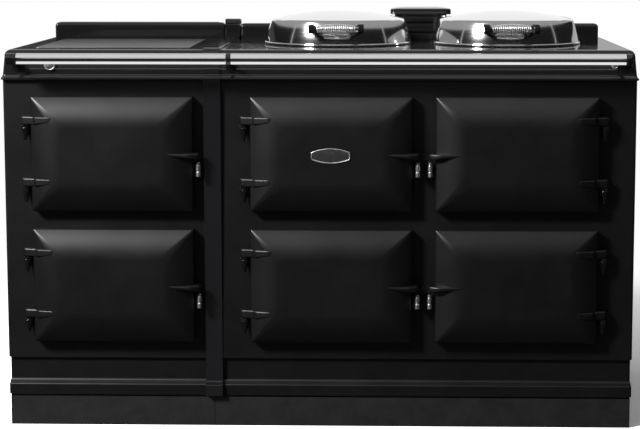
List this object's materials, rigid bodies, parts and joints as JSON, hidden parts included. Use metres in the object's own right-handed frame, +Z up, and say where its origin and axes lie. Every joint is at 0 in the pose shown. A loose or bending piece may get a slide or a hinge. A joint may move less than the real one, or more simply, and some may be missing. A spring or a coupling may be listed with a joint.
{
  "type": "cast iron range cooker",
  "caption": "Wide black enamelled heat-storage range cooker with hinged cast doors, lidded hotplates, a warming plate, handrails and a vent cowl.",
  "frame": {"origin": "on the floor, midway across the front, midway between the front plates' face and the cabinet's back", "axes": "+X right as seen from the front, +Y back, +Z up"},
  "size_m": [1.484, 0.7037, 0.98],
  "materials": {
    "front_enamel": "satin black vitreous enamel on cast iron",
    "top_enamel": "high-gloss black vitreous enamel on cast iron",
    "plinth_paint": "matt dark grey powder coat",
    "galvanised": "galvanised sheet steel",
    "oven_iron": "grey enamelled cast iron",
    "mineral_wool": "loose mineral insulation",
    "warming_steel": "satin grey steel",
    "hotplate_iron": "machined bare cast iron",
    "bright_steel": "bright steel",
    "element_sheath": "heat-coloured steel sheath",
    "chrome": "polished chrome",
    "lid_chrome": "polished chrome-plated steel with fine circular polish",
    "fitting_black": "gloss black enamel",
    "knob_plastic": "black moulded plastic",
    "seal_fibre": "woven heat-proof fibre",
    "liner_metal": "plain bright sheet",
    "badge_metal": "bare black oval in a chrome rim"
  },
  "bodies": {
    "cabinet": {"base_frames": "plinth_paint", "base_covers": "front_enamel", "front_plate_module": "front_enamel", "front_plate_main": "front_enamel", "side_sheets": "galvanised", "back_sheets": "galvanised", "insulation": "mineral_wool", "top_plate_module": "top_enamel", "top_plate_main": "top_enamel", "joint_cover": "front_enamel", "upstands": "top_enamel", "warming_plate": "warming_steel", "hotplates": "hotplate_iron", "hotplate_rings": "bright_steel", "hotplate_elements": "element_sheath", "vent_cowl": "top_enamel", "handrails": "chrome", "handrail_brackets": "fitting_black", "rail_studs": "chrome", "roasting_oven": "oven_iron", "baking_oven": "oven_iron", "simmering_oven": "oven_iron", "slow_cook_oven": "oven_iron", "warming_oven": "oven_iron", "control_panel": "oven_iron", "oven_shelves": "bright_steel", "lid_hinge_blocks": "fitting_black", "door_hinge_posts": "fitting_black", "catch_saddles": "fitting_black", "door_seals": "seal_fibre", "cable_gland": "knob_plastic"},
    "roasting_door": {"door_roasting": "front_enamel", "liner_roasting": "liner_metal", "pull_roasting": "chrome"},
    "baking_door": {"door_baking": "front_enamel", "liner_baking": "liner_metal", "pull_baking": "chrome"},
    "simmering_door": {"door_simmering": "front_enamel", "liner_simmering": "liner_metal", "pull_simmering": "chrome"},
    "control_door": {"door_control": "front_enamel", "liner_control": "liner_metal", "pull_control": "chrome", "door_badge": "badge_metal"},
    "slow_cook_door": {"door_slow_cook": "front_enamel", "liner_slow_cook": "liner_metal", "pull_slow_cook": "chrome"},
    "warming_door": {"door_warming": "front_enamel", "liner_warming": "liner_metal", "pull_warming": "chrome"},
    "left_lid": {"lid_left": "lid_chrome", "lid_liner_left": "liner_metal", "grip_left": "chrome", "grip_posts_left": "fitting_black"},
    "right_lid": {"lid_right": "lid_chrome", "lid_liner_right": "liner_metal", "grip_right": "chrome", "grip_posts_right": "fitting_black"},
    "left_knob": {"knob_left": "knob_plastic"},
    "right_knob": {"knob_right": "knob_plastic"}
  },
  "joints": [
    {"name": "roasting_door_hinge", "type": "hinge", "parent": "cabinet", "child": "roasting_door", "pos_m": [0.6649, -0.316, 0.654], "axis": [0, 0, 1], "range_deg": [0, 120]},
    {"name": "baking_door_hinge", "type": "hinge", "parent": "cabinet", "child": "baking_door", "pos_m": [0.6649, -0.316, 0.343], "axis": [0, 0, 1], "range_deg": [0, 120]},
    {"name": "simmering_door_hinge", "type": "hinge", "parent": "cabinet", "child": "simmering_door", "pos_m": [-0.1739, -0.316, 0.343], "axis": [0, 0, -1], "range_deg": [0, 120]},
    {"name": "control_door_hinge", "type": "hinge", "parent": "cabinet", "child": "control_door", "pos_m": [-0.1739, -0.316, 0.654], "axis": [0, 0, -1], "range_deg": [0, 120]},
    {"name": "slow_cook_door_hinge", "type": "hinge", "parent": "cabinet", "child": "slow_cook_door", "pos_m": [-0.6844, -0.316, 0.654], "axis": [0, 0, -1], "range_deg": [0, 120]},
    {"name": "warming_door_hinge", "type": "hinge", "parent": "cabinet", "child": "warming_door", "pos_m": [-0.6844, -0.316, 0.343], "axis": [0, 0, -1], "range_deg": [0, 120]},
    {"name": "left_lid_hinge", "type": "hinge", "parent": "cabinet", "child": "left_lid", "pos_m": [0.0375, 0.205, 0.936], "axis": [-1, 0, 0], "range_deg": [0, 75]},
    {"name": "right_lid_hinge", "type": "hinge", "parent": "cabinet", "child": "right_lid", "pos_m": [0.4535, 0.205, 0.936], "axis": [-1, 0, 0], "range_deg": [0, 75]},
    {"name": "left_knob_turn", "type": "hinge", "parent": "cabinet", "child": "left_knob", "pos_m": [-0.0355, -0.24, 0.654], "axis": [0, -1, 0], "range_deg": [0, 270]},
    {"name": "right_knob_turn", "type": "hinge", "parent": "cabinet", "child": "right_knob", "pos_m": [0.0945, -0.24, 0.654], "axis": [0, -1, 0], "range_deg": [0, 270]}
  ]
}
